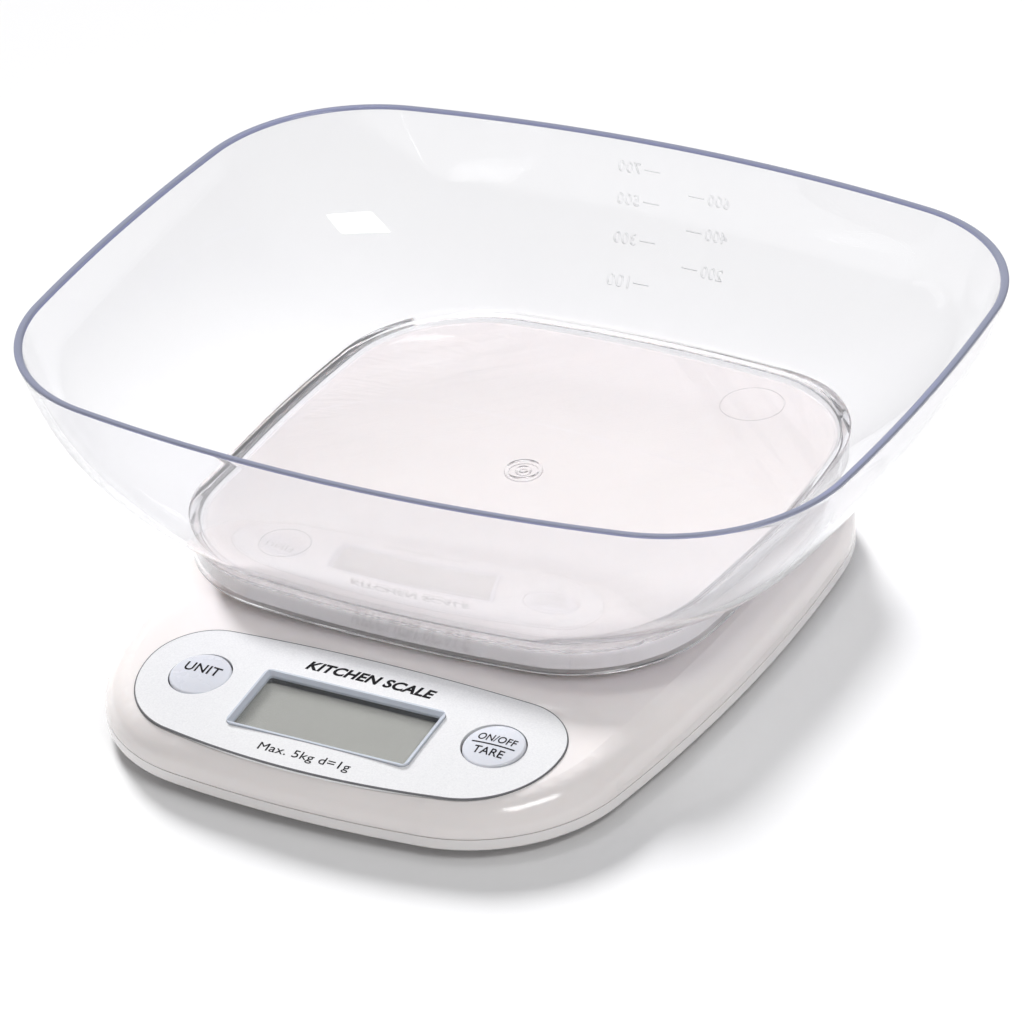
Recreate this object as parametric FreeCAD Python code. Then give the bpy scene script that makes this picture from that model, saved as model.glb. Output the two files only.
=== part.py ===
import FreeCAD, Part
import math
import os

# A battery kitchen scale with a clear measuring bowl that sits on a square weighing platter.
# Lengths are millimetres.  X runs left to right, Y front to back, Z up.
# Shapes are drawn about the weighing axis, then moved by ORIGIN_Y so that the origin is
# the middle of the footprint, on the table.

V = FreeCAD.Vector
ORIGIN_Y = 13.1

# ---- driving dimensions ----
BOWL_TOP = 68.0        # height of the bowl's rim
BOWL_FLOOR = 27.3      # height of the bowl's inside floor
BOWL_SHOULDER = 27.6   # height where the flared wall meets the skirt
SKIRT_LOW = 20.2       # lower edge of the skirt
SKIRT_WALL = 1.5
PLATTER_TOP = 25.3
PLATTER_LOW = 20.8
PLATTER_WALL = 1.8
WELL_TOP = 16.0        # top cover's sunk area under the platter
COVER_WALL = 2.0
SEAM = 5.4             # joint line between the two covers
SEAM_GAP = 0.2
BASE_LOW = 2.6         # underside of the bottom cover
FLOOR_TOP = 4.4        # inside floor of the bottom cover
CROWN = 17.4           # highest point of the domed top cover
CROWN_RX = 560.0       # dome radius from side to side
CROWN_RY = 420.0       # dome radius towards the front
CROWN_Y = -40.0        # where the dome starts to fall to the front

# outline of a soft rectangle: half width, front, back, widest line, then radii
BASE = dict(w=65.2, yf=-103.9, yb=62.0, ys=-8.5, rs=380.0, rf=267.0, rb=300.0, cf=34.6, cb=39.9)
RIM = dict(w=97.15, yf=-77.7, yb=77.7, ys=0.0, rs=483.0, rf=377.0, rb=377.0, cf=38.6, cb=38.6)
FOOT = dict(w=62.4, yf=-61.7, yb=61.7, ys=0.0, rs=393.0, rf=323.0, rb=323.0, cf=32.1, cb=32.1)

LCD_Y = -83.5
LCD_TILT = math.degrees(math.atan((CROWN_Y - LCD_Y) / CROWN_RY))
LCD_W = 42.7
LCD_D = 18.6
BUTTON_X = 34.7
BUTTON_Y = 3.9         # behind the middle of the display, along the panel
LCD_FRAME_LOW = -1.1   # heights in the display stack, from the panel's surface
LCD_PANE_TOP = -1.15
LCD_PANE_LOW = -2.05
LCD_GLASS_TOP = -2.15
LCD_GLASS_STEP = -3.2  # where the lower glass sheet begins
LCD_GLASS_LOW = -4.25
CONTACT_LOW = -6.7     # foot of the rubber contact strips
BUTTON_R = 6.6
CELL_LEN = 64.0
CELL_W = 12.0
CELL_LOW = 6.4
CELL_TOP = 13.4
FEET = [(-52.0, -66.0), (52.0, -66.0), (-47.0, 36.0), (47.0, 36.0)]
COIN_Y = 38.0
ARM = 36.0             # platter screw position from the axis, both ways
POSTS = [(-44.5, 8.5), (44.5, 8.5), (-27.0, -12.2), (27.0, -12.2)]


# ---- drawing helpers ----
def tangent_corner(ca, ra, cb, rb, r, back):
    """Centre of the corner arc that touches a big arc (ca, ra) and a side arc (cb, rb)."""
    reach_a = ra - r
    reach_b = rb - r
    dx = cb[0] - ca[0]
    dy = cb[1] - ca[1]
    gap = math.hypot(dx, dy)
    along = (reach_a ** 2 - reach_b ** 2 + gap ** 2) / (2.0 * gap)
    off = math.sqrt(reach_a ** 2 - along ** 2)
    mx = ca[0] + dx * along / gap
    my = ca[1] + dy * along / gap
    one = (mx - dy * off / gap, my + dx * off / gap)
    two = (mx + dy * off / gap, my - dx * off / gap)
    sign = 1.0 if back else -1.0
    if one[0] + sign * one[1] > two[0] + sign * two[1]:
        return one
    return two


def reach(start, towards, length):
    """Point at a length from start in the direction of another point."""
    dx = towards[0] - start[0]
    dy = towards[1] - start[1]
    size = math.hypot(dx, dy)
    return (start[0] + dx * length / size, start[1] + dy * length / size)


def soft_outline(shape, z, inset=0.0):
    """Closed wire of eight tangent arcs."""
    w = shape["w"] - inset
    yf = shape["yf"] + inset
    yb = shape["yb"] - inset
    rs = shape["rs"] - inset
    rf = shape["rf"] - inset
    rb = shape["rb"] - inset
    cf = shape["cf"] - inset
    cb = shape["cb"] - inset
    side = (w - rs, shape["ys"])
    front = (0.0, yf + rf)
    back = (0.0, yb - rb)
    low = tangent_corner(front, rf, side, rs, cf, False)
    high = tangent_corner(back, rb, side, rs, cb, True)
    p1 = reach(front, low, rf)
    p2 = reach(side, low, rs)
    p3 = reach(side, high, rs)
    p4 = reach(back, high, rb)
    q1 = reach(low, ((p1[0] + p2[0]) / 2.0, (p1[1] + p2[1]) / 2.0), cf)
    q2 = reach(high, ((p3[0] + p4[0]) / 2.0, (p3[1] + p4[1]) / 2.0), cb)
    half = [(p1, q1, p2), (p2, (w, shape["ys"]), p3), (p3, q2, p4)]
    edges = [arc3((-p1[0], p1[1]), (0.0, yf), p1, z)]
    for a, m, b in half:
        edges.append(arc3(a, m, b, z))
    edges.append(arc3(p4, (0.0, yb), (-p4[0], p4[1]), z))
    for a, m, b in reversed(half):
        edges.append(arc3((-b[0], b[1]), (-m[0], m[1]), (-a[0], a[1]), z))
    return Part.Wire(edges)


def arc3(a, m, b, z):
    return Part.Arc(V(a[0], a[1], z), V(m[0], m[1], z), V(b[0], b[1], z)).toShape()


def prism(shape, z0, z1, inset=0.0):
    """Upright solid with a soft-rectangle outline."""
    face = Part.Face(soft_outline(shape, z0, inset))
    return face.extrude(V(0, 0, z1 - z0))


def disc(x, y, z0, z1, r):
    return Part.makeCylinder(r, z1 - z0, V(x, y, z0))


def block(x0, x1, y0, y1, z0, z1):
    return Part.makeBox(x1 - x0, y1 - y0, z1 - z0, V(x0, y0, z0))


def round_block(w, d, r, z0, z1, x=0.0, y=0.0):
    """Box with rounded upright edges, centred on x, y."""
    box = block(x - w / 2.0, x + w / 2.0, y - d / 2.0, y + d / 2.0, z0, z1)
    upright = [e for e in box.Edges if abs(e.Vertexes[0].Z - e.Vertexes[1].Z) > 0.01]
    return box.makeFillet(r, upright)


def ring(x, y, z0, z1, r_out, r_in):
    return disc(x, y, z0, z1, r_out).cut(disc(x, y, z0 - 1.0, z1 + 1.0, r_in))


def rod(points, r):
    """Round wire along a smooth line through the points."""
    line = Part.BSplineCurve()
    line.interpolate([V(*p) for p in points])
    path = Part.Wire([line.toShape()])
    start = line.tangent(line.FirstParameter)[0]
    circle = Part.Wire([Part.Circle(V(*points[0]), start, r).toShape()])
    return path.makePipeShell([circle], True, False)


def join(shapes):
    solid = shapes[0]
    for piece in shapes[1:]:
        solid = solid.fuse(piece)
    return solid.removeSplitter()


def group(shapes):
    return Part.makeCompound(shapes)


def save(shape, name):
    """Move to the row's origin and write one STEP file."""
    out = shape.copy()
    out.translate(V(0, ORIGIN_Y, 0))
    out.exportStep("parts/" + name + ".step")


# ---- the domed top and the panel's own frame ----
def dome(x, y):
    fall = max(0.0, CROWN_Y - y)
    return CROWN - x * x / (2.0 * CROWN_RX) - fall * fall / (2.0 * CROWN_RY)


def dome_body(offset, depth=40.0):
    """Solid under the dome surface moved up or down by offset."""
    rows = []
    for i in range(17):
        x = -80.0 + 10.0 * i
        rows.append([V(x, -125.0 + 10.0 * j, dome(x, -125.0 + 10.0 * j) + offset) for j in range(22)])
    surface = Part.BSplineSurface()
    surface.interpolate(rows)
    return surface.toShape().extrude(V(0, 0, -depth))


def on_panel(shape):
    """Place a shape drawn about the display's middle onto the sloping panel."""
    out = shape.copy()
    out.rotate(V(0, 0, 0), V(1, 0, 0), LCD_TILT)
    out.translate(V(0, LCD_Y, dome(0.0, LCD_Y)))
    return out


def panel_wire(z, grow=0.0):
    """Outline of the control panel: straight back, round ends, gently bowed front."""
    w = 48.7 + grow
    yb = -64.2 + grow
    rb = 12.9 + grow
    rf = 20.4 + grow
    big = 150.0 + grow
    back = (35.8, -77.1)
    front = (28.3, -77.5)
    bow = (0.0, 49.0)
    touch = reach(bow, front, big)
    diag = math.sqrt(0.5)
    half = math.atan2(touch[1] - front[1], touch[0] - front[0]) / 2.0
    nose = (front[0] + rf * math.cos(half), front[1] + rf * math.sin(half))
    right = [
        arc3(touch, nose, (w, front[1]), z),
        Part.makeLine(V(w, front[1], z), V(w, back[1], z)),
        arc3((w, back[1]), (back[0] + rb * diag, back[1] + rb * diag), (back[0], yb), z),
    ]
    left = [
        arc3((-back[0], yb), (-back[0] - rb * diag, back[1] + rb * diag), (-w, back[1]), z),
        Part.makeLine(V(-w, back[1], z), V(-w, front[1], z)),
        arc3((-w, front[1]), (-nose[0], nose[1]), (-touch[0], touch[1]), z),
    ]
    line = [Part.makeLine(V(back[0], yb, z), V(-back[0], yb, z))]
    close = [arc3((-touch[0], touch[1]), (0.0, 49.0 - big), touch, z)]
    return Part.Wire(close + right + line + left)


def panel_prism(grow=0.0):
    return Part.Face(panel_wire(0.0, grow)).extrude(V(0, 0, 40.0))


# ---- bowl ----
def swell(t):
    """Share of the way from the foot outline to the rim outline at height share t."""
    return t + 0.937 * t * (1.0 - t) + 0.315 * t * (1.0 - t) * (1.0 - 2.0 * t)


def bowl_section(z, drop, inset):
    g = swell((z - drop - BOWL_SHOULDER) / (BOWL_TOP - BOWL_SHOULDER))
    mix = dict((key, FOOT[key] + (RIM[key] - FOOT[key]) * g) for key in FOOT)
    return soft_outline(mix, z, inset)


def make_bowl():
    """Clear bowl: flared wall, flat floor and a skirt that drops round the platter."""
    levels = [0.0, 0.12, 0.26, 0.42, 0.6, 0.8, 1.0]
    span = BOWL_TOP - BOWL_SHOULDER
    outside = [bowl_section(BOWL_SHOULDER + span * t, 0.0, 0.0) for t in levels]
    wall = Part.makeLoft(outside, True, False)
    skirt = prism(FOOT, SKIRT_LOW, BOWL_SHOULDER)
    body = wall.fuse(skirt)
    depth = BOWL_TOP - BOWL_FLOOR
    levels[-1] = 1.012
    inside = [bowl_section(BOWL_FLOOR + depth * t, 1.1, 0.9 + 0.6 * t) for t in levels]
    hollow = Part.makeLoft(inside, True, False)
    floor_edges = [e for e in hollow.Edges if max(abs(v.Z - BOWL_FLOOR) for v in e.Vertexes) < 0.01]
    hollow = hollow.makeFillet(1.6, floor_edges)
    body = body.cut(hollow)
    under = prism(FOOT, SKIRT_LOW - 1.0, PLATTER_TOP, SKIRT_WALL)
    return body.cut(under)


# ---- platter and what carries it ----
def make_platter():
    """White plate with a turned-down edge, four screw posts and cross ribs."""
    outer = prism(FOOT, PLATTER_LOW, PLATTER_TOP, 2.3)
    top = [e for e in outer.Edges if min(v.Z for v in e.Vertexes) > PLATTER_TOP - 0.01]
    outer = outer.makeFillet(1.6, top)
    inner = prism(FOOT, PLATTER_LOW - 1.0, PLATTER_TOP - 2.0, 2.3 + PLATTER_WALL)
    plate = outer.cut(inner)
    adds = [plate]
    for sx in (-1, 1):
        for sy in (-1, 1):
            adds.append(disc(sx * ARM, sy * ARM, 20.1, PLATTER_TOP - 1.5, 3.6))
    for y in (-22.0, 22.0):
        adds.append(block(-52.0, 52.0, y - 0.7, y + 0.7, 21.6, PLATTER_TOP - 1.5))
    for x in (-46.0, 46.0):
        adds.append(block(x - 0.7, x + 0.7, -52.0, 52.0, 21.6, PLATTER_TOP - 1.5))
    plate = join(adds)
    for sx in (-1, 1):
        for sy in (-1, 1):
            plate = plate.cut(disc(sx * ARM, sy * ARM, 19.0, 23.6, 1.2))
    return plate


def make_bracket():
    """Pressed steel spider between the load cell's free end and the platter."""
    bars = [round_block(70.0, 24.0, 5.0, 18.6, 20.1)]
    for turn in (45.0, -45.0):
        bar = round_block(2.0 * ARM * math.sqrt(2.0) + 11.0, 11.0, 5.4, 18.6, 20.1)
        bar.rotate(V(0, 0, 0), V(0, 0, 1), turn)
        bars.append(bar)
    plate = join(bars)
    for sx in (-1, 1):
        for sy in (-1, 1):
            plate = plate.cut(disc(sx * ARM, sy * ARM, 18.0, 21.0, 1.6))
    for x in (20.0, 28.0):
        plate = plate.cut(disc(x, 0.0, 18.0, 21.0, 1.6))
    return plate


def pan_screw(x, y, seat, up, length, r_shank, r_head, h_head):
    """Screw whose head bears on seat; up is 1 when the shank points up."""
    if up > 0:
        head = disc(x, y, seat - h_head, seat, r_head)
        shank = disc(x, y, seat - 0.2, seat + length, r_shank)
        slot = block(x - r_head * 0.62, x + r_head * 0.62, y - 0.3, y + 0.3, seat - h_head - 1.0,
                     seat - h_head * 0.55)
    else:
        head = disc(x, y, seat, seat + h_head, r_head)
        shank = disc(x, y, seat - length, seat + 0.2, r_shank)
        slot = block(x - r_head * 0.62, x + r_head * 0.62, y - 0.3, y + 0.3, seat + h_head * 0.55,
                     seat + h_head + 1.0)
    cross = slot.copy()
    cross.rotate(V(x, y, 0), V(0, 0, 1), 90.0)
    return head.fuse(shank).cut(slot).cut(cross).removeSplitter()


def make_platter_screws():
    out = []
    for sx in (-1, 1):
        for sy in (-1, 1):
            out.append(pan_screw(sx * ARM, sy * ARM, 18.6, 1, 4.6, 1.15, 2.6, 1.2))
    return group(out)


def make_cell_top_spacer():
    body = round_block(16.0, 12.0, 1.5, CELL_TOP, 18.6, 24.0, 0.0)
    for x in (20.0, 28.0):
        body = body.cut(disc(x, 0.0, 12.0, 19.5, 1.6))
    return body


def make_cell_top_screws():
    return group([pan_screw(x, 0.0, 20.1, -1, 11.4, 1.45, 2.8, 1.4) for x in (20.0, 28.0)])


# ---- load cell ----
def make_load_cell():
    """Aluminium bending beam with a double-hole window in its middle."""
    half = CELL_LEN / 2.0
    mid = (CELL_LOW + CELL_TOP) / 2.0
    beam = block(-half, half, -CELL_W / 2.0, CELL_W / 2.0, CELL_LOW, CELL_TOP)
    for x in (-7.0, 7.0):
        hole = Part.makeCylinder(2.6, 20.0, V(x, -10.0, mid), V(0, 1, 0))
        beam = beam.cut(hole)
    beam = beam.cut(block(-7.0, 7.0, -10.0, 10.0, mid - 1.1, mid + 1.1))
    for x in (-28.0, -20.0, 20.0, 28.0):
        beam = beam.cut(disc(x, 0.0, 5.0, 15.0, 1.5))
    return beam


def make_gauges():
    """Strain gauges under white sealant above and below the beam's thin webs."""
    pads = []
    for x in (-7.0, 7.0):
        pads.append(round_block(7.0, 7.0, 1.5, CELL_TOP, CELL_TOP + 0.45, x, 0.0))
        pads.append(round_block(7.0, 7.0, 1.5, CELL_LOW - 0.45, CELL_LOW, x, 0.0))
    return group(pads)


def make_cell_base_spacer():
    plate = round_block(16.0, 14.0, 1.5, 5.6, CELL_LOW, -24.0, 0.0)
    for x in (-28.0, -20.0):
        plate = plate.cut(disc(x, 0.0, 5.0, 7.0, 1.6))
    return plate


def make_cell_base_screws():
    return group([pan_screw(x, 0.0, 4.2, 1, 7.6, 1.45, 2.8, 1.4) for x in (-28.0, -20.0)])


# ---- covers ----
def make_top_cover():
    """Domed shell with a sunk platter well, a panel recess and screw bosses."""
    low = SEAM + SEAM_GAP
    outer = prism(BASE, low, 24.0).common(dome_body(0.0))
    rim = [e for e in outer.Edges if e.BoundBox.ZMin > 7.5]
    outer = outer.makeFillet(7.0, rim)
    inner = prism(BASE, low - 1.0, 24.0, COVER_WALL).common(dome_body(-COVER_WALL))
    rim = [e for e in inner.Edges if e.BoundBox.ZMin > 7.0]
    inner = inner.makeFillet(3.8, rim)
    well = prism(FOOT, WELL_TOP, 24.0, 5.4)
    skin = prism(FOOT, WELL_TOP - 1.8, 24.0, 3.4)
    body = outer.cut(well).cut(inner.cut(skin))
    bosses = []
    for x, y in FEET:
        bosses.append(disc(x, y, 7.0, 16.0, 3.5))
    for boss in bosses:
        body = body.fuse(boss.common(outer.cut(well)))
    for x, y in POSTS:
        post = on_panel(disc(x, y, -6.7, -1.0, 2.3))
        body = body.fuse(post.common(inner.fuse(outer).cut(well)))
    body = body.cut(panel_prism(0.2).cut(dome_body(-0.75, 60.0)))
    body = body.cut(on_panel(round_block(LCD_W + 0.2, LCD_D + 0.2, 1.7, -9.0, 4.0)))
    for sx in (-1, 1):
        body = body.cut(on_panel(disc(sx * BUTTON_X, BUTTON_Y, -3.6, 6.0, BUTTON_R + 0.3)))
    body = body.cut(round_block(21.0, 17.0, 3.0, 10.0, 20.0, 24.0, 0.0))
    for x, y in FEET:
        body = body.cut(disc(x, y, 6.0, 12.4, 1.2))
    for x, y in POSTS:
        body = body.cut(on_panel(disc(x, y, -8.0, -3.2, 0.85)))
    return body.removeSplitter()


def make_bottom_cover():
    """Shallow tray with an inner lip, foot seats, load cell pad and coin cell well."""
    tray = prism(BASE, BASE_LOW, SEAM)
    low = [e for e in tray.Edges if max(v.Z for v in e.Vertexes) < BASE_LOW + 0.01]
    tray = tray.makeFillet(0.8, low)
    tray = tray.cut(prism(BASE, FLOOR_TOP, SEAM + 1.0, COVER_WALL))
    lip = prism(BASE, FLOOR_TOP - 0.5, SEAM + 0.8, COVER_WALL + 0.1)
    lip = lip.cut(prism(BASE, FLOOR_TOP - 1.0, SEAM + 3.0, COVER_WALL + 1.3))
    adds = [tray, lip]
    for x, y in FEET:
        adds.append(disc(x, y, FLOOR_TOP - 0.5, 7.0, 4.6))
    adds.append(round_block(18.0, 16.0, 2.0, FLOOR_TOP - 0.5, 5.6, -24.0, 0.0))
    adds.append(ring(0.0, COIN_Y, FLOOR_TOP - 0.5, 9.2, 16.8, 15.3))
    adds.append(block(18.0, 30.0, -3.0, 3.0, FLOOR_TOP - 0.5, 5.4))
    for y in (-40.0, -20.0, 18.0):
        adds.append(block(-48.0, -34.0, y - 0.6, y + 0.6, FLOOR_TOP - 0.5, 6.2))
        adds.append(block(34.0, 48.0, y - 0.6, y + 0.6, FLOOR_TOP - 0.5, 6.2))
    tray = join(adds)
    for x, y in FEET:
        tray = tray.cut(disc(x, y, 1.0, 3.4, 6.1))
        tray = tray.cut(disc(x, y, 1.0, 5.2, 2.9))
        tray = tray.cut(disc(x, y, 1.0, 9.0, 1.6))
    for x in (-28.0, -20.0):
        tray = tray.cut(disc(x, 0.0, 1.0, 4.2, 3.0))
        tray = tray.cut(disc(x, 0.0, 1.0, 7.0, 1.6))
    return tray.cut(disc(0.0, COIN_Y, 1.0, 6.0, 13.0))


def make_foot(x, y):
    """Rubber pad glued into its seat, with a rounded lower edge."""
    pad = disc(x, y, 0.0, 3.4, 6.0)
    low = [e for e in pad.Edges if e.BoundBox.ZMax < 0.01]
    return pad.makeFillet(0.7, low)


def make_case_screws():
    return group([pan_screw(x, y, 5.2, 1, 6.6, 1.15, 2.6, 1.5) for x, y in FEET])


# ---- control panel, display and buttons ----
def make_control_panel():
    """Thin pearl overlay that follows the dome, with three openings."""
    plate = panel_prism(0.0).common(dome_body(0.25)).cut(dome_body(-0.7, 60.0))
    plate = plate.cut(on_panel(round_block(LCD_W + 0.2, LCD_D + 0.2, 1.7, -9.0, 4.0)))
    for sx in (-1, 1):
        plate = plate.cut(on_panel(disc(sx * BUTTON_X, BUTTON_Y, -6.0, 6.0, BUTTON_R + 0.3)))
    return plate


def make_lcd_frame():
    """Bevelled frame round the display opening."""
    body = round_block(LCD_W, LCD_D, 1.6, LCD_FRAME_LOW, 0.3)
    hole = round_block(40.3, 16.3, 0.6, -4.0, 2.0)
    low, high = [
        Part.makePolygon([V(x, y, z), V(-x, y, z), V(-x, -y, z), V(x, -y, z), V(x, y, z)])
        for x, y, z in ((-20.15, -8.15, -0.5), (-21.0, -8.95, 0.4))
    ]
    bevel = Part.makeLoft([low, high], True, True)
    return on_panel(body.cut(hole).cut(bevel))


def make_lcd_window():
    return on_panel(round_block(41.5, 17.4, 0.5, LCD_PANE_LOW, LCD_PANE_TOP))


def make_lcd_glass():
    """Two glass sheets; the lower one reaches out at the back for its contacts."""
    upper = block(-20.6, 20.6, -8.5, 6.9, LCD_GLASS_STEP, LCD_GLASS_TOP)
    lower = block(-20.6, 20.6, -8.5, 8.5, LCD_GLASS_LOW, LCD_GLASS_STEP)
    return on_panel(join([upper, lower]))


def make_lcd_holder():
    """Plastic frame that holds window and display under the top cover."""
    body = round_block(46.0, 22.4, 1.0, -6.6, -2.2)
    body = body.cut(round_block(41.7, 17.6, 0.5, -8.0, 0.0))
    for sx in (-1, 1):
        body = body.cut(block(sx * 12.0 - 2.0, sx * 12.0 + 2.0, -12.0, -10.4, -8.0, -4.6))
    return on_panel(body).common(dome_body(-COVER_WALL - 0.05))


def make_zebra_strips():
    """Rubber contact strips from the display glass to the board."""
    strips = [round_block(38.0, 1.8, 0.4, CONTACT_LOW, LCD_GLASS_LOW, 0.0, y) for y in (-7.2, 7.2)]
    return on_panel(group(strips))


def make_button(sx):
    """Round key with a slightly domed top, a retaining flange and a stem."""
    x = sx * BUTTON_X
    cap = Part.makeCylinder(BUTTON_R, 4.3, V(x, BUTTON_Y, -4.6))
    ball = Part.makeSphere(42.0, V(x, BUTTON_Y, -0.3 - 42.0))
    cap = cap.common(ball)
    edge = [e for e in cap.Edges if e.BoundBox.ZMin > -1.5 and e.BoundBox.XLength > 12.0]
    cap = cap.makeFillet(0.5, edge)
    flange = Part.makeCylinder(7.5, 0.7, V(x, BUTTON_Y, -4.6))
    stem = Part.makeCylinder(1.5, 0.4, V(x, BUTTON_Y, -4.75))
    return on_panel(join([cap, flange, stem]))


# ---- electronics ----
def make_board():
    """Circuit board under the display, narrower at the front."""
    wide = round_block(94.0, 17.0, 1.0, -7.9, -6.75, 0.0, 3.5)
    front = round_block(60.0, 20.0, 1.0, -7.9, -6.75, 0.0, -5.0)
    board = join([wide, front])
    for x, y in POSTS:
        board = board.cut(disc(x, y, -9.0, -5.0, 1.1))
    return on_panel(board)


def make_tact_switches():
    """Low switches under the two keys."""
    out = []
    for sx in (-1, 1):
        x = sx * BUTTON_X
        body = round_block(6.0, 6.0, 0.4, -6.75, -5.7, x, BUTTON_Y)
        knob = disc(x, BUTTON_Y, -5.8, -5.3, 1.6)
        out.append(join([body, knob]))
    return on_panel(group(out))


def make_board_parts():
    """Sealed chip, crystal and small parts on the board's underside."""
    chip = Part.makeSphere(11.0, V(-4.0, -1.0, -7.9 + 9.6)).common(block(-20, 20, -20, 20, -12.0, -7.9))
    items = [chip]
    can = Part.makeCylinder(1.0, 6.0, V(10.0, -6.0, -8.95), V(1, 0, 0))
    items.append(can)
    for i in range(6):
        x = -24.0 + 3.4 * i
        items.append(block(x, x + 2.0, 6.4, 7.6, -8.5, -7.9))
    items.append(block(14.0, 24.0, 2.0, 6.0, -9.2, -7.9))
    return on_panel(group(items))


def make_board_screws():
    out = []
    for x, y in POSTS:
        head = disc(x, y, -8.9, -7.9, 1.9)
        shank = disc(x, y, -8.0, -3.4, 0.8)
        out.append(head.fuse(shank).removeSplitter())
    return on_panel(group(out))


# ---- battery ----
def make_coin_cell():
    """Lithium coin cell with its narrower negative cap on top."""
    can = disc(0.0, COIN_Y, 5.4, 8.1, 10.0)
    cap = disc(0.0, COIN_Y, 8.0, 8.6, 8.6)
    cell = join([can, cap])
    low = [e for e in cell.Edges if e.BoundBox.ZMax < 5.41]
    return cell.makeFillet(0.4, low)


def make_battery_cradle():
    """Ring that holds the coin cell, closed above."""
    body = disc(0.0, COIN_Y, 5.5, 10.9, 15.15)
    body = body.cut(disc(0.0, COIN_Y, 4.0, 9.7, 10.5))
    return body.cut(block(-3.0, 3.0, COIN_Y - 16.0, COIN_Y - 10.0, 9.0, 12.0))


def make_contact_minus():
    """Leaf contact over the cell's cap."""
    leaf = block(-8.0, 8.0, COIN_Y - 2.5, COIN_Y + 2.5, 9.3, 9.6)
    return join([leaf, disc(0.0, COIN_Y, 8.62, 9.4, 1.2)])


def make_contact_plus():
    """Curved strip against the side of the can."""
    strip = ring(0.0, COIN_Y, 5.6, 9.0, 10.4, 10.05)
    return strip.common(block(4.0, 12.0, COIN_Y - 5.0, COIN_Y + 5.0, 5.0, 9.6))


def make_battery_door():
    """Round cap with a coin slot and two bayonet lugs."""
    plate = disc(0.0, COIN_Y, BASE_LOW + 0.1, 4.3, 12.95)
    collar = disc(0.0, COIN_Y, 4.2, 5.2, 12.6)
    lugs = []
    for sx in (-1, 1):
        lug = ring(0.0, COIN_Y, 4.5, 5.2, 14.8, 12.0)
        low = 11.0 if sx > 0 else -16.0
        lugs.append(lug.common(block(low, low + 5.0, COIN_Y - 4.0, COIN_Y + 4.0, 4.0, 6.0)))
    door = join([plate, collar] + lugs)
    return door.cut(round_block(15.0, 2.0, 0.9, 1.0, BASE_LOW + 1.0, 0.0, COIN_Y))


# ---- wiring ----
def make_sensor_lead():
    """Screened lead from the load cell to the board."""
    points = [(-2.0, -7.2, 8.6), (-2.0, -14.0, 6.4), (2.0, -26.0, 5.6), (8.0, -44.0, 5.6),
              (12.0, -60.0, 5.8), (14.0, -68.6, 6.2)]
    return rod(points, 0.9)


def make_battery_leads():
    """Two thin leads from the coin cell contacts to the board."""
    out = []
    for shift in (0.0, 1.7):
        points = [(-1.0 + shift, 19.0, 7.4), (-4.0 + shift, 12.0, 5.4), (-6.0 + shift, 0.0, 5.15),
                  (-8.0 + shift, -20.0, 5.3), (-12.0 + shift, -48.0, 5.4), (-14.0 + shift, -68.6, 6.0)]
        out.append(rod(points, 0.55))
    return group(out)


def build():
    os.makedirs("parts", exist_ok=True)
    save(make_bowl(), "bowl")
    save(make_platter(), "platter")
    save(make_bracket(), "platter_bracket")
    save(make_platter_screws(), "platter_screws")
    save(make_cell_top_spacer(), "cell_top_spacer")
    save(make_cell_top_screws(), "cell_top_screws")
    save(make_load_cell(), "load_cell")
    save(make_gauges(), "strain_gauges")
    save(make_cell_base_spacer(), "cell_base_spacer")
    save(make_cell_base_screws(), "cell_base_screws")
    save(make_top_cover(), "top_cover")
    save(make_bottom_cover(), "bottom_cover")
    names = ["foot_front_left", "foot_front_right", "foot_back_left", "foot_back_right"]
    for name, (x, y) in zip(names, FEET):
        save(make_foot(x, y), name)
    save(make_case_screws(), "case_screws")
    save(make_control_panel(), "control_panel")
    save(make_lcd_frame(), "lcd_frame")
    save(make_lcd_window(), "lcd_window")
    save(make_lcd_glass(), "lcd_glass")
    save(make_lcd_holder(), "lcd_holder")
    save(make_zebra_strips(), "zebra_strips")
    save(make_button(-1), "unit_button")
    save(make_button(1), "tare_button")
    save(make_board(), "main_board")
    save(make_tact_switches(), "tact_switches")
    save(make_board_parts(), "board_parts")
    save(make_board_screws(), "board_screws")
    save(make_coin_cell(), "coin_cell")
    save(make_battery_cradle(), "battery_cradle")
    save(make_contact_minus(), "battery_contact_minus")
    save(make_contact_plus(), "battery_contact_plus")
    save(make_battery_door(), "battery_door")
    save(make_sensor_lead(), "sensor_lead")
    save(make_battery_leads(), "battery_leads")


build()
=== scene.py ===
import math

import bmesh
import bpy
import numpy as np
from mathutils import Euler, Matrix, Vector


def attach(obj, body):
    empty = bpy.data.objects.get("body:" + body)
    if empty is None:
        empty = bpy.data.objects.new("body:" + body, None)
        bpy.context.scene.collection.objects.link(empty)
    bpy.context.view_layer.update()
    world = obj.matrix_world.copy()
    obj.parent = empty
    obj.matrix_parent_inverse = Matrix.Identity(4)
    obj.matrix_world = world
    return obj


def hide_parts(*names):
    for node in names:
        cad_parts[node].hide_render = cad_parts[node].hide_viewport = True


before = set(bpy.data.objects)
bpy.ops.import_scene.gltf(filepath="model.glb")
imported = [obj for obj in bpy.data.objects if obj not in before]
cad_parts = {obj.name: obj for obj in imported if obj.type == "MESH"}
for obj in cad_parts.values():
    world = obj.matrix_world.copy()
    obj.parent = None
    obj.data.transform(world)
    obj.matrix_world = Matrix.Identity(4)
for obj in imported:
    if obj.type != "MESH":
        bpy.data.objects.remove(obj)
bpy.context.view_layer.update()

# ---------------------------------------------------------------- dimensions, mm
MM = 0.001
Y0 = 13.1
BOWL_TOP = 68.0
BOWL_FLOOR = 27.3
SHOULDER = 27.6
SKIRT_LOW = 20.2
PLATTER_TOP = 25.3
RIM_BAND = 0.9         # height of the tinted band at the bowl's rim
INNER_DROP = 1.1       # the inner wall follows the outer wall's shape this much lower
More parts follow.
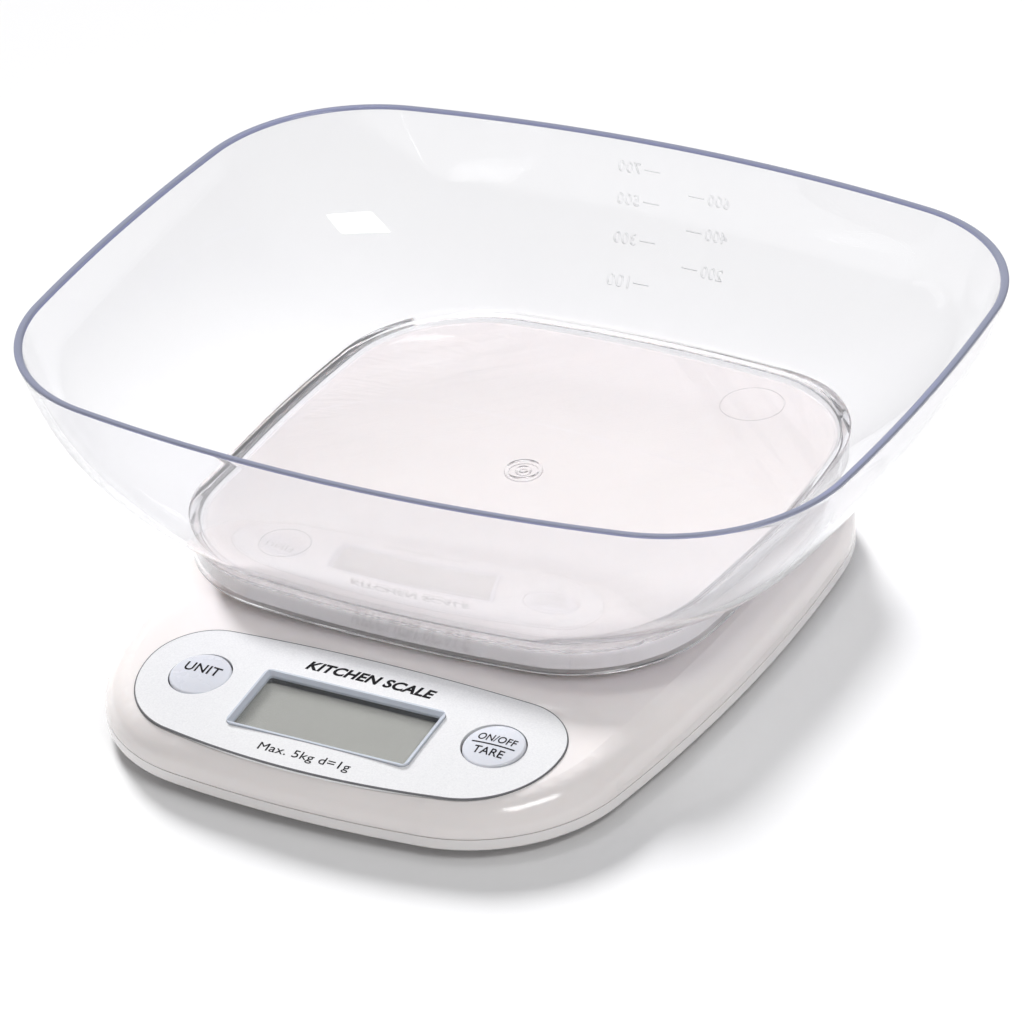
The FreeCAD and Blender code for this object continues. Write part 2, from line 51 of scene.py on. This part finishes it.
RIM_ROUND = 0.6
RIM_WALL = 1.5
FLOOR_WALL = 0.9
FLOOR_ROUND = 1.2      # fillet where the inner wall meets the bowl's floor
FLOOR_SLOPE = 0.35     # rad, where that fillet starts
PANEL_TOP = 0.25       # the panel stands proud of the domed cover
KEY_X = 34.7
KEY_Y = 3.9            # behind the display's middle, along the panel
KEY_TOP = -0.3
KEY_BALL = 42.0        # radius of a key's domed top
PRINT_SINK = 0.08      # printed letters reach this far into their surface
CROWN, CROWN_RX, CROWN_RY, CROWN_Y = 17.4, 560.0, 420.0, -40.0
LCD_Y = -83.5
TILT = math.atan((CROWN_Y - LCD_Y) / CROWN_RY)
RIM = dict(w=97.15, yf=-77.7, yb=77.7, ys=0.0, rs=483.0, rf=377.0, rb=377.0, cf=38.6, cb=38.6)
FOOT = dict(w=62.4, yf=-61.7, yb=61.7, ys=0.0, rs=393.0, rf=323.0, rb=323.0, cf=32.1, cb=32.1)


# ---------------------------------------------------------------- outlines
def tangent_corner(ca, ra, cb, rb, r, back):
    a, b = np.array(ca), np.array(cb)
    gap = np.linalg.norm(b - a)
    along = ((ra - r) ** 2 - (rb - r) ** 2 + gap ** 2) / (2 * gap)
    off = math.sqrt((ra - r) ** 2 - along ** 2)
    mid = a + (b - a) * along / gap
    side = np.array([-(b - a)[1], (b - a)[0]]) / gap * off
    sign = 1 if back else -1
    return max((mid + side, mid - side), key=lambda v: v[0] + sign * v[1])


def sweep(centre, r, a0, a1, n):
    """Points of an arc, without its last one."""
    t = np.linspace(a0, a1, n, endpoint=False)
    return np.c_[centre[0] + r * np.cos(t), centre[1] + r * np.sin(t)]


def soft_outline(s, inset=0.0, counts=(40, 30, 40, 30, 40)):
    """Eight tangent arcs, anticlockwise from the front's left end, as an (n, 2) array."""
    w, yf, yb = s["w"] - inset, s["yf"] + inset, s["yb"] - inset
    rs, rf, rb, cf, cb = (s[k] - inset for k in ("rs", "rf", "rb", "cf", "cb"))
    side, front, back = (w - rs, s["ys"]), (0.0, yf + rf), (0.0, yb - rb)
    lo = tangent_corner(front, rf, side, rs, cf, False)
    hi = tangent_corner(back, rb, side, rs, cb, True)
    ang = lambda c, p: math.atan2(p[1] - c[1], p[0] - c[0])
    a1, a2, a3, a4 = ang(front, lo), ang(side, lo), ang(side, hi), ang(back, hi)
    right = [sweep(lo, cf, a1, a2, counts[1]), sweep(side, rs, a2, a3, counts[2]),
             sweep(hi, cb, a3, a4, counts[3])]
    rear = sweep(back, rb, a4, math.pi - a4, counts[4])
    left = [sweep((-hi[0], hi[1]), cb, math.pi - a4, math.pi - a3, counts[3]),
            sweep((-side[0], side[1]), rs, math.pi - a3, math.pi - a2, counts[2]),
            sweep((-lo[0], lo[1]), cf, math.pi - a2, math.pi - a1, counts[1])]
    nose = sweep(front, rf, -math.pi - a1, a1, counts[0])
    return np.vstack([nose] + right + [rear] + left)


def swell(t):
    return t + 0.937 * t * (1 - t) + 0.315 * t * (1 - t) * (1 - 2 * t)


def bowl_ring(z, drop=0.0, inset=0.0, height=None):
    g = swell((z - drop - SHOULDER) / (BOWL_TOP - SHOULDER))
    mix = {k: FOOT[k] + (RIM[k] - FOOT[k]) * g for k in FOOT}
    return lift(soft_outline(mix, inset), z if height is None else height)


def lift(points, z):
    return np.c_[points, np.full(len(points), z)]


def dome(x, y):
    return CROWN - x * x / (2 * CROWN_RX) - np.maximum(0, CROWN_Y - y) ** 2 / (2 * CROWN_RY)


# ---------------------------------------------------------------- mesh helpers
def make_mesh(name, verts, faces, body, material, sharp=32, smooth=True):
    """Object from millimetre points about the weighing axis."""
    v = np.asarray(verts, float) * MM
    v[:, 1] += Y0 * MM
    me = bpy.data.meshes.new(name)
    me.from_pydata(v.tolist(), [], faces)
    me.update()
    bm = bmesh.new()
    bm.from_mesh(me)
    bmesh.ops.recalc_face_normals(bm, faces=bm.faces)
    bm.to_mesh(me)
    bm.free()
    me.shade_smooth() if smooth else me.shade_flat()
    if smooth and sharp:
        me.set_sharp_from_angle(angle=math.radians(sharp))
    ob = bpy.data.objects.new(name, me)
    bpy.context.scene.collection.objects.link(ob)
    me.materials.append(material)
    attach(ob, body)
    return ob


def stack(rings, close_first=True, close_last=True):
    """Skin rings of equal count in order."""
    n = len(rings[0])
    verts = np.vstack(rings)
    faces = []
    for k in range(len(rings) - 1):
        for i in range(n):
            j = (i + 1) % n
            faces.append((k * n + i, k * n + j, (k + 1) * n + j, (k + 1) * n + i))
    if close_first:
        faces.append(tuple(range(n - 1, -1, -1)))
    if close_last:
        faces.append(tuple(range((len(rings) - 1) * n, len(rings) * n)))
    return verts, faces


def tube_ring(cx, cy, z, r, thick, n=72, m=10, squash=1.0):
    verts, faces = [], []
    for i in range(n):
        a = 2 * math.pi * i / n
        for k in range(m):
            b = 2 * math.pi * k / m
            q = r + thick * math.cos(b)
            verts.append((cx + q * math.cos(a), cy + q * math.sin(a), z + thick * squash * math.sin(b)))
    for i in range(n):
        for k in range(m):
            here, ahead = i * m, ((i + 1) % n) * m
            up = (k + 1) % m
            faces.append((here + k, ahead + k, ahead + up, here + up))
    return verts, faces


# ---------------------------------------------------------------- materials
def new_material(name, color, rough, metallic=0.0, coat=0.0, ior=1.5, spec=0.5):
    m = bpy.data.materials.new(name)
    m.use_nodes = True
    nt = m.node_tree
    b = nt.nodes["Principled BSDF"]
    b.inputs["Base Color"].default_value = (*color, 1)
    b.inputs["Roughness"].default_value = rough
    b.inputs["Metallic"].default_value = metallic
    b.inputs["Coat Weight"].default_value = coat
    b.inputs["Coat Roughness"].default_value = 0.05
    b.inputs["IOR"].default_value = ior
    b.inputs["Specular IOR Level"].default_value = spec
    return m, nt, b


def noise(nt, scale, detail=4.0, rough=0.55, stretch=None):
    tc = nt.nodes.new("ShaderNodeTexCoord")
    no = nt.nodes.new("ShaderNodeTexNoise")
    no.inputs["Scale"].default_value = scale
    no.inputs["Detail"].default_value = detail
    no.inputs["Roughness"].default_value = rough
    src = tc.outputs["Object"]
    if stretch:
        mp = nt.nodes.new("ShaderNodeMapping")
        mp.inputs["Scale"].default_value = stretch
        nt.links.new(src, mp.inputs["Vector"])
        src = mp.outputs["Vector"]
    nt.links.new(src, no.inputs["Vector"])
    return no


def add_bump(nt, b, height, strength, distance):
    bump = nt.nodes.new("ShaderNodeBump")
    bump.inputs["Strength"].default_value = strength
    bump.inputs["Distance"].default_value = distance
    nt.links.new(height, bump.inputs["Height"])
    nt.links.new(bump.outputs["Normal"], b.inputs["Normal"])
    return bump


def vary(nt, b, fac, stops, socket="Base Color"):
    """Colour or roughness through a ramp."""
    ramp = nt.nodes.new("ShaderNodeValToRGB")
    el = ramp.color_ramp.elements
    el[0].position, el[0].color = stops[0][0], (*stops[0][1], 1)
    el[1].position, el[1].color = stops[-1][0], (*stops[-1][1], 1)
    for pos, col in stops[1:-1]:
        e = el.new(pos)
        e.color = (*col, 1)
    nt.links.new(fac, ramp.inputs["Fac"])
    nt.links.new(ramp.outputs["Color"], b.inputs[socket])
    return ramp


def gloss_plastic(name, color, rough=0.16, grain=0.012):
    m, nt, b = new_material(name, color, rough, coat=0.35, ior=1.5)
    low = noise(nt, 22.0, 3.0)
    c = np.array(color)
    vary(nt, b, low.outputs["Fac"], [(0.3, tuple(c * 0.985)), (0.7, tuple(np.minimum(c * 1.01, 1.0)))])
    fine = noise(nt, 900.0, 5.0)
    add_bump(nt, b, fine.outputs["Fac"], grain, 0.0004)
    mp = nt.nodes.new("ShaderNodeMapRange")
    mp.inputs["To Min"].default_value = rough * 0.8
    mp.inputs["To Max"].default_value = rough * 1.3
    smear = noise(nt, 60.0, 6.0)
    nt.links.new(smear.outputs["Fac"], mp.inputs["Value"])
    nt.links.new(mp.outputs["Result"], b.inputs["Roughness"])
    b.inputs["Subsurface Weight"].default_value = 0.12
    b.inputs["Subsurface Radius"].default_value = (0.004, 0.003, 0.0025)
    b.inputs["Subsurface Scale"].default_value = 0.5
    return m


ABSORB = (0.42, 0.47, 0.86)
SHADOW_TINT = (0.985, 0.985, 0.99)


def clear_plastic(name, tint, density, rough=0.0, through=1.0, ior=1.52):
    """Clear moulded plastic that lets light through for shadows."""
    m, nt, b = new_material(name, tint, rough, ior=ior)
    b.inputs["Transmission Weight"].default_value = through
    ripple = noise(nt, 45.0, 2.0)
    add_bump(nt, b, ripple.outputs["Fac"], 0.03, 0.0003)
    out = nt.nodes["Material Output"]
    lp = nt.nodes.new("ShaderNodeLightPath")
    tr = nt.nodes.new("ShaderNodeBsdfTransparent")
    tr.inputs["Color"].default_value = (*SHADOW_TINT, 1)
    mix = nt.nodes.new("ShaderNodeMixShader")
    nt.links.new(lp.outputs["Is Shadow Ray"], mix.inputs["Fac"])
    nt.links.new(b.outputs["BSDF"], mix.inputs[1])
    nt.links.new(tr.outputs["BSDF"], mix.inputs[2])
    nt.links.new(mix.outputs["Shader"], out.inputs["Surface"])
    if density:
        vol = nt.nodes.new("ShaderNodeVolumeAbsorption")
        vol.inputs["Color"].default_value = (*ABSORB, 1)
        vol.inputs["Density"].default_value = density
        nt.links.new(vol.outputs["Volume"], out.inputs["Volume"])
    return m


def metal(name, color, rough, grain=(1, 1, 1), scale=400.0):
    m, nt, b = new_material(name, color, rough, metallic=1.0)
    n = noise(nt, scale, 5.0, stretch=grain)
    c = np.array(color)
    vary(nt, b, n.outputs["Fac"], [(0.25, tuple(c * 0.82)), (0.75, tuple(np.minimum(c * 1.08, 1)))])
    add_bump(nt, b, n.outputs["Fac"], 0.15, 0.0002)
    return m


def matte(name, color, rough=0.55, scale=700.0, bump=0.12):
    m, nt, b = new_material(name, color, rough)
    n = noise(nt, scale, 6.0)
    c = np.array(color)
    vary(nt, b, n.outputs["Fac"], [(0.3, tuple(c * 0.88)), (0.7, tuple(np.minimum(c * 1.1, 1)))])
    add_bump(nt, b, n.outputs["Fac"], bump, 0.0003)
    return m


WHITE = gloss_plastic("white_gloss", (0.88, 0.832, 0.815))
LOWER = gloss_plastic("white_lower", (0.88, 0.85, 0.84))
PLATE = gloss_plastic("platter_white", (0.79, 0.755, 0.742), 0.2)
CLEAR = clear_plastic("clear_bowl", (0.948, 0.946, 0.955), density=5.0, through=0.95)
EDGE = clear_plastic("clear_rim", (0.71, 0.755, 0.98), density=5.0, rough=0.05, through=0.64)
MARKS = clear_plastic("clear_marks", (0.98, 0.98, 0.985), density=0.0, rough=0.1, ior=1.3)
KEY = gloss_plastic("key_grey", (0.71, 0.725, 0.775), 0.26)
BEZEL = gloss_plastic("bezel_grey", (0.60, 0.64, 0.71), 0.3)
# painted shade: a near-black matte colour standing in for the shade in the gap around the control panel
PAINTED_GAP_SHADE = matte("panel_gap_painted_shade", (0.16, 0.16, 0.17), 0.5)
RUBBER = matte("foot_rubber", (0.46, 0.46, 0.46), 0.7)
ZINC = metal("zinc_steel", (0.72, 0.72, 0.70), 0.28)
ALU = metal("cell_aluminium", (0.80, 0.81, 0.82), 0.34, (1, 14, 14), 160.0)
SEAL = matte("white_sealant", (0.85, 0.84, 0.80), 0.4, 200.0)
GREY = matte("holder_grey", (0.16, 0.165, 0.175), 0.45)
BOARD = matte("board_green", (0.03, 0.16, 0.06), 0.35, 300.0, 0.05)
BLACK = matte("chip_black", (0.02, 0.02, 0.022), 0.4)
ZEBRA = matte("contact_rubber", (0.45, 0.12, 0.16), 0.6)
WIRE = matte("wire_red", (0.5, 0.04, 0.03), 0.4)
PRINT = matte("print_black", (0.016, 0.015, 0.017), 0.6, 1500.0, 0.05)
PRINT.node_tree.nodes["Principled BSDF"].inputs["Specular IOR Level"].default_value = 0.15


def pearl():
    m, nt, b = new_material("panel_pearl", (0.80, 0.80, 0.81), 0.34, metallic=0.12, coat=0.4)
    n = noise(nt, 2600.0, 3.0, 0.7)
    stops = [(0.2, (0.80, 0.80, 0.81)), (0.5, (0.88, 0.88, 0.885)), (0.8, (0.96, 0.96, 0.96))]
    vary(nt, b, n.outputs["Fac"], stops)
    add_bump(nt, b, n.outputs["Fac"], 0.08, 0.0002)
    return m


def display():
    m, nt, b = new_material("display_glass", (0.42, 0.44, 0.385), 0.22, coat=0.6)
    n = noise(nt, 1800.0, 2.0)
    vary(nt, b, n.outputs["Fac"], [(0.3, (0.315, 0.315, 0.295)), (0.7, (0.34, 0.34, 0.315))])
    return m


PEARL = pearl()
DISPLAY = display()
PANE = clear_plastic("display_pane", (0.97, 0.975, 0.97), density=0.0, rough=0.02)

LOOK = {
    "white": (WHITE, ["top_cover"]),
    "lower": (LOWER, ["bottom_cover", "battery_door"]),
    "plate": (PLATE, ["platter"]),
    "pearl": (PEARL, ["control_panel"]),
    "bezel": (BEZEL, ["lcd_frame"]),
    "pane": (PANE, ["lcd_window"]),
    "glass": (DISPLAY, ["lcd_glass"]),
    "keys": (KEY, ["unit_button", "tare_button"]),
    "rubber": (RUBBER, ["foot_front_left", "foot_front_right", "foot_back_left", "foot_back_right"]),
    "zinc": (ZINC, ["platter_bracket", "platter_screws", "cell_top_screws", "cell_base_spacer",
                    "cell_base_screws", "case_screws", "board_screws", "coin_cell",
                    "battery_contact_minus", "battery_contact_plus"]),
    "alu": (ALU, ["load_cell", "cell_top_spacer"]),
    "seal": (SEAL, ["strain_gauges"]),
    "grey": (GREY, ["lcd_holder", "tact_switches", "battery_cradle"]),
    "board": (BOARD, ["main_board"]),
    "black": (BLACK, ["board_parts"]),
    "zebra": (ZEBRA, ["zebra_strips"]),
    "wire": (WIRE, ["sensor_lead", "battery_leads"]),
}
for material, nodes in LOOK.values():
    for node in nodes:
        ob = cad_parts[node]
        for s in ob.material_slots:
            s.material = material
        if not ob.material_slots:
            ob.data.materials.append(material)


# ---------------------------------------------------------------- clear bowl
def build_bowl():
    rings = []
    skirt = lambda z, inset: lift(soft_outline(FOOT, inset), z)
    rings.append(skirt(PLATTER_TOP, 1.5))
    rings.append(skirt(SKIRT_LOW + 0.25, 1.5))
    rings.append(skirt(SKIRT_LOW, 1.25))
    rings.append(skirt(SKIRT_LOW, 0.25))
    rings.append(skirt(SKIRT_LOW + 0.25, 0.0))
    rings.append(skirt(SHOULDER - 0.35, 0.0))
    span = BOWL_TOP - SHOULDER
    for t in np.linspace(0.0, 1.0, 44) ** 1.15:
        z = SHOULDER + 0.15 + (span - 0.75) * t
        rings.append(bowl_ring(z))
    for a in np.linspace(0.0, math.pi / 2, 6)[1:]:
        z = BOWL_TOP - RIM_ROUND + RIM_ROUND * math.sin(a)
        rings.append(bowl_ring(z, 0.0, RIM_ROUND * (1 - math.cos(a))))
    for a in np.linspace(math.pi / 2, 0.0, 6):
        z = BOWL_TOP - RIM_ROUND + RIM_ROUND * math.sin(a)
        rings.append(bowl_ring(z, INNER_DROP, RIM_WALL - RIM_ROUND * (1 - math.cos(a))))
    depth = BOWL_TOP - BOWL_FLOOR
    for t in np.linspace(0.965, 0.03, 44):
        rings.append(bowl_ring(BOWL_FLOOR + depth * t, INNER_DROP, FLOOR_WALL + (RIM_WALL - FLOOR_WALL) * t))
    for a in np.linspace(FLOOR_SLOPE, math.pi / 2, 8):
        z = BOWL_FLOOR + FLOOR_ROUND * (1 - math.sin(a))
        inset = 0.92 + 0.9 + FLOOR_ROUND * (math.cos(FLOOR_SLOPE) - math.cos(a))
        rings.append(bowl_ring(BOWL_FLOOR + 0.03 * depth, INNER_DROP, inset, z))
    verts, faces = stack(rings)
    ob = make_mesh("bowl_clear", verts, faces, "bowl", CLEAR, 28)
    ob.data.materials.append(EDGE)
    for face in ob.data.polygons:
        if face.center.z > (BOWL_TOP - RIM_BAND) * MM:
            face.material_index = 1
    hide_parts("bowl")
    return ob


build_bowl()


# ---------------------------------------------------------------- lettering
def letters(name, text, width, height, place, body, material,
            bold=0.0, lean=0.0, thick=0.05):
    """Flat letters of a given width and cap height, laid on a surface by place(u, v, w)."""
    cu = bpy.data.curves.new(name, "FONT")
    cu.body = text
    cu.size = 1.0
    cu.extrude = 0.02
    cu.offset = bold
    cu.space_character = 1.04
    cu.resolution_u = 6
    tmp = bpy.data.objects.new(name + "_tmp", cu)
    bpy.context.scene.collection.objects.link(tmp)
    dg = bpy.context.evaluated_depsgraph_get()
    me = bpy.data.meshes.new_from_object(tmp.evaluated_get(dg))
    bpy.data.objects.remove(tmp)
    co = np.array([v.co[:] for v in me.vertices])
    lo, hi = co.min(0), co.max(0)
    cap = 0.69
    u = ((co[:, 0] - lo[0]) / (hi[0] - lo[0]) - 0.5) * width
    v = (co[:, 1] / cap - 0.5) * height
    u = u + lean * v
    w = (co[:, 2] - lo[2]) / (hi[2] - lo[2]) * (thick + PRINT_SINK) - PRINT_SINK
    for vert, a, b, c in zip(me.vertices, u, v, w):
        p = place(a, b, c)
        vert.co = (p[0] * MM, (p[1] + Y0) * MM, p[2] * MM)
    me.materials.clear()
    me.materials.append(material)
    ob = bpy.data.objects.new(name, me)
    bpy.context.scene.collection.objects.link(ob)
    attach(ob, body)
    return ob


def on_dome(cx, cy):
    return lambda u, v, w: (cx + u, cy + v, dome(cx + u, cy + v) + PANEL_TOP + w - 0.01)


def panel_point(x, y, z):
    c, s = math.cos(TILT), math.sin(TILT)
    return (x, LCD_Y + y * c - z * s, dome(0.0, LCD_Y) + y * s + z * c)


def on_key(side, shift=0.0):
    """A point above a key's domed top, from the key's middle."""
    def place(u, v, w):
        v += shift
        top = KEY_TOP - (u * u + v * v) / (2 * KEY_BALL)
        return panel_point(side * KEY_X + u, KEY_Y + v, top + w - 0.005)
    return place


def print_on(name, text, width, height, place, body, bold, lean=0.0):
    letters(name, text, width, height, place, body, PRINT, bold, lean)


print_on("label_title", "KITCHEN SCALE", 29.5, 2.55, on_dome(0.9, -70.0), "base", 0.034, 0.2)
print_on("label_capacity", "Max. 5kg d=1g", 21.4, 2.15, on_dome(0.0, -96.7), "base", 0.0)
print_on("label_unit", "UNIT", 8.3, 2.7, on_key(-1, 1.25), "unit_key", 0.01)
print_on("label_on_off", "ON/OFF", 8.7, 2.0, on_key(1, 1.75), "tare_key", 0.008)
print_on("label_tare", "TARE", 6.9, 2.1, on_key(1, -2.35), "tare_key", 0.008)


def key_line():
    verts, faces = [], []
    n = 24
    for top in (-PRINT_SINK, 0.05):
        for i in range(n + 1):
            u = -4.9 + 9.8 * i / n
            for v in (-0.38, -0.06):
                x, y, z = on_key(1)(u, v, top)
                verts.append((x, y, z))
    row = 2 * (n + 1)
    for i in range(n):
        a, b, c, d = 2 * i, 2 * i + 1, 2 * i + 3, 2 * i + 2
        faces += [(row + a, row + d, row + c, row + b), (a, b, c, d)]
        faces += [(a, d, row + d, row + a), (b, row + b, row + c, c)]
    faces += [(0, row, row + 1, 1), (2 * n, 2 * n + 1, row + 2 * n + 1, row + 2 * n)]
    make_mesh("label_line", verts, faces, "tare_key", PRINT, 0, smooth=False)


key_line()


# ---------------------------------------------------------------- panel edge
PANEL_BACK = (35.8, -77.1, 12.9)
PANEL_FRONT = (28.3, -77.5, 20.4)
PANEL_BOW = (0.0, 49.0, 150.0)


def panel_outline(grow):
    """Round-ended panel with a gently bowed front edge."""
    bx, by, br = PANEL_BACK
    fx, fy, fr = PANEL_FRONT
    ox, oy, big = PANEL_BOW
    turn = math.atan2(fy - oy, fx - ox)
    right = [sweep((fx, fy), fr + grow, turn, 0.0, 40), sweep((bx, by), br + grow, 0.0, math.pi / 2, 30)]
    across = np.linspace(bx, -bx, 30, endpoint=False)
    back = [np.c_[across, np.full(30, by + br + grow)]]
    left = [sweep((-bx, by), br + grow, math.pi / 2, math.pi, 30),
            sweep((-fx, fy), fr + grow, math.pi, math.pi - turn, 40)]
    nose = [sweep((ox, oy), big + grow, -math.pi - turn, turn, 60)]
    return np.vstack(right + back + left + nose)


# A dark band over the panel's edge: painted shade for the gap between the panel and the cover.
def panel_gap_painted_shade():
    rings = []
    for grow, up in ((-0.12, -0.1), (0.17, -0.1), (0.17, 0.14), (0.08, 0.27), (-0.12, 0.27)):
        xy = panel_outline(grow)
        rings.append(np.c_[xy, dome(xy[:, 0], xy[:, 1]) + up])
    rings.append(rings[0])
    verts, faces = stack(rings, False, False)
    make_mesh("panel_gap_painted_shade", verts, faces, "base", PAINTED_GAP_SHADE, 40)


panel_gap_painted_shade()


# ---------------------------------------------------------------- bowl marks
def wall_y(x, z):
    """Outside of the bowl's back wall near its middle."""
    g = swell((z - SHOULDER) / (BOWL_TOP - SHOULDER))
    yb = FOOT["yb"] + (RIM["yb"] - FOOT["yb"]) * g
    rb = FOOT["rb"] + (RIM["rb"] - FOOT["rb"]) * g
    return yb - rb + math.sqrt(rb * rb - x * x)


def on_back_wall(cx, cz):
    """Letters read from behind; they rise along the wall."""
    def place(u, v, w):
        x = cx - u
        z = cz + v * 0.93
        return (x, wall_y(x, z) + w - 0.06, z)
    return place


MARK_LEVELS = [("100", 36.3, -1), ("200", 41.2, 1), ("300", 44.9, -1), ("400", 49.0, 1),
               ("500", 53.4, -1), ("600", 56.8, 1), ("700", 60.8, -1)]


def graduation_line(name, x0, x1, z):
    verts, faces = [], []
    n = 8
    for i in range(n + 1):
        x = x0 + (x1 - x0) * i / n
        for dz in (-0.14, 0.14):
            y = wall_y(x, z + dz)
            verts.append((x, y - 0.06, z + dz))
            verts.append((x, y + 0.16, z + dz))
    for i in range(n):
        a = 4 * i
        b = a + 4
        faces += [(a, a + 1, b + 1, b), (a + 2, b + 2, b + 3, a + 3)]
        faces += [(a, b, b + 2, a + 2), (a + 1, a + 3, b + 3, b + 1)]
    faces += [(0, 2, 3, 1), (4 * n, 4 * n + 1, 4 * n + 3, 4 * n + 2)]
    make_mesh(name, verts, faces, "bowl", MARKS, 0, smooth=False)


for text, z, side in MARK_LEVELS:
    letters("mark_" + text, text, 5.4, 2.6, on_back_wall(side * 11.1, z), "bowl", MARKS, thick=0.12)
    graduation_line("mark_line_" + text, side * 7.4, side * 3.6, z)


def ring_mark(name, cx, cy, r, thick, squash=0.6):
    v, f = tube_ring(cx, cy, BOWL_FLOOR, r, thick, squash=squash)
    make_mesh(name, v, f, "bowl", MARKS, 0)


ring_mark("ring_front", -33.0, -44.6, 5.6, 0.16)
ring_mark("ring_back", 33.2, 44.0, 7.0, 0.16)
ring_mark("gate_outer", 0.2, 0.0, 3.7, 0.55, 1.4)
ring_mark("gate_inner", 0.2, 0.0, 1.3, 0.5, 1.2)

# ---------------------------------------------------------------- camera, floor and light
cam_data = bpy.data.cameras.new("camera")
cam_data.lens = 212.735
cam_data.sensor_width = 36.0
cam_data.clip_end = 20.0
cam = bpy.data.objects.new("camera", cam_data)
cam.location = (0.55518, -0.94845, 0.69605)
cam.rotation_euler = Euler([math.radians(v) for v in (58.4961, 3.4767, 28.0224)], "XYZ")
bpy.context.scene.collection.objects.link(cam)
bpy.context.scene.camera = cam

floor_mat = new_material("studio_floor", (0.85, 0.85, 0.85), 0.7, spec=0.1)[0]
bpy.ops.mesh.primitive_plane_add(size=8.0, location=(0, 0, 0))
floor = bpy.context.object
floor.name = "studio_floor"
floor.data.materials.append(floor_mat)


def area(name, loc, target, size, power, size_y):
    d = bpy.data.lights.new(name, "AREA")
    d.energy = power
    d.shape = "RECTANGLE"
    d.size = size
    d.size_y = size_y
    o = bpy.data.objects.new(name, d)
    o.location = loc
    o.rotation_euler = (Vector(target) - Vector(loc)).to_track_quat("-Z", "Y").to_euler()
    bpy.context.scene.collection.objects.link(o)
    return o


def sun(name, direction, strength, angle):
    d = bpy.data.lights.new(name, "SUN")
    d.energy = strength
    d.angle = math.radians(angle)
    o = bpy.data.objects.new(name, d)
    o.rotation_euler = Vector(direction).to_track_quat("-Z", "Y").to_euler()
    bpy.context.scene.collection.objects.link(o)
    return o


key = sun("key", (0.64, -0.63, -0.57), 4.05, 16.0)
key.visible_glossy = False
key.visible_transmission = False
fill = area("fill_front", (0.35, -1.25, 0.24), (0, 0, 0.01), 0.8, 1.0, size_y=0.3)
fill.visible_glossy = False
fill.visible_transmission = False
area("softbox_high", (0.62, -0.32, 0.90), (0, 0, 0.05), 0.52, 3.2, size_y=0.22)
area("softbox_top", (-0.22, 0.10, 1.15), (0, 0, 0.04), 0.34, 1.0, size_y=0.12)

world = bpy.data.worlds.new("studio")
bpy.context.scene.world = world
world.use_nodes = True
wnt = world.node_tree
wtc = wnt.nodes.new("ShaderNodeTexCoord")
wsep = wnt.nodes.new("ShaderNodeSeparateXYZ")
wramp = wnt.nodes.new("ShaderNodeValToRGB")
wramp.color_ramp.elements[0].position = 0.0
wramp.color_ramp.elements[0].color = (0.28, 0.276, 0.28, 1)
wramp.color_ramp.elements[1].position = 0.75
wramp.color_ramp.elements[1].color = (0.31, 0.31, 0.315, 1)
wnt.links.new(wtc.outputs["Generated"], wsep.inputs["Vector"])
wnt.links.new(wsep.outputs["Z"], wramp.inputs["Fac"])
wnt.links.new(wramp.outputs["Color"], wnt.nodes["Background"].inputs["Color"])
wnt.nodes["Background"].inputs["Strength"].default_value = 1.0
bpy.context.scene.view_settings.view_transform = "Standard"
bpy.context.scene.cycles.max_bounces = 16
bpy.context.scene.cycles.transmission_bounces = 14
bpy.context.scene.cycles.transparent_max_bounces = 16
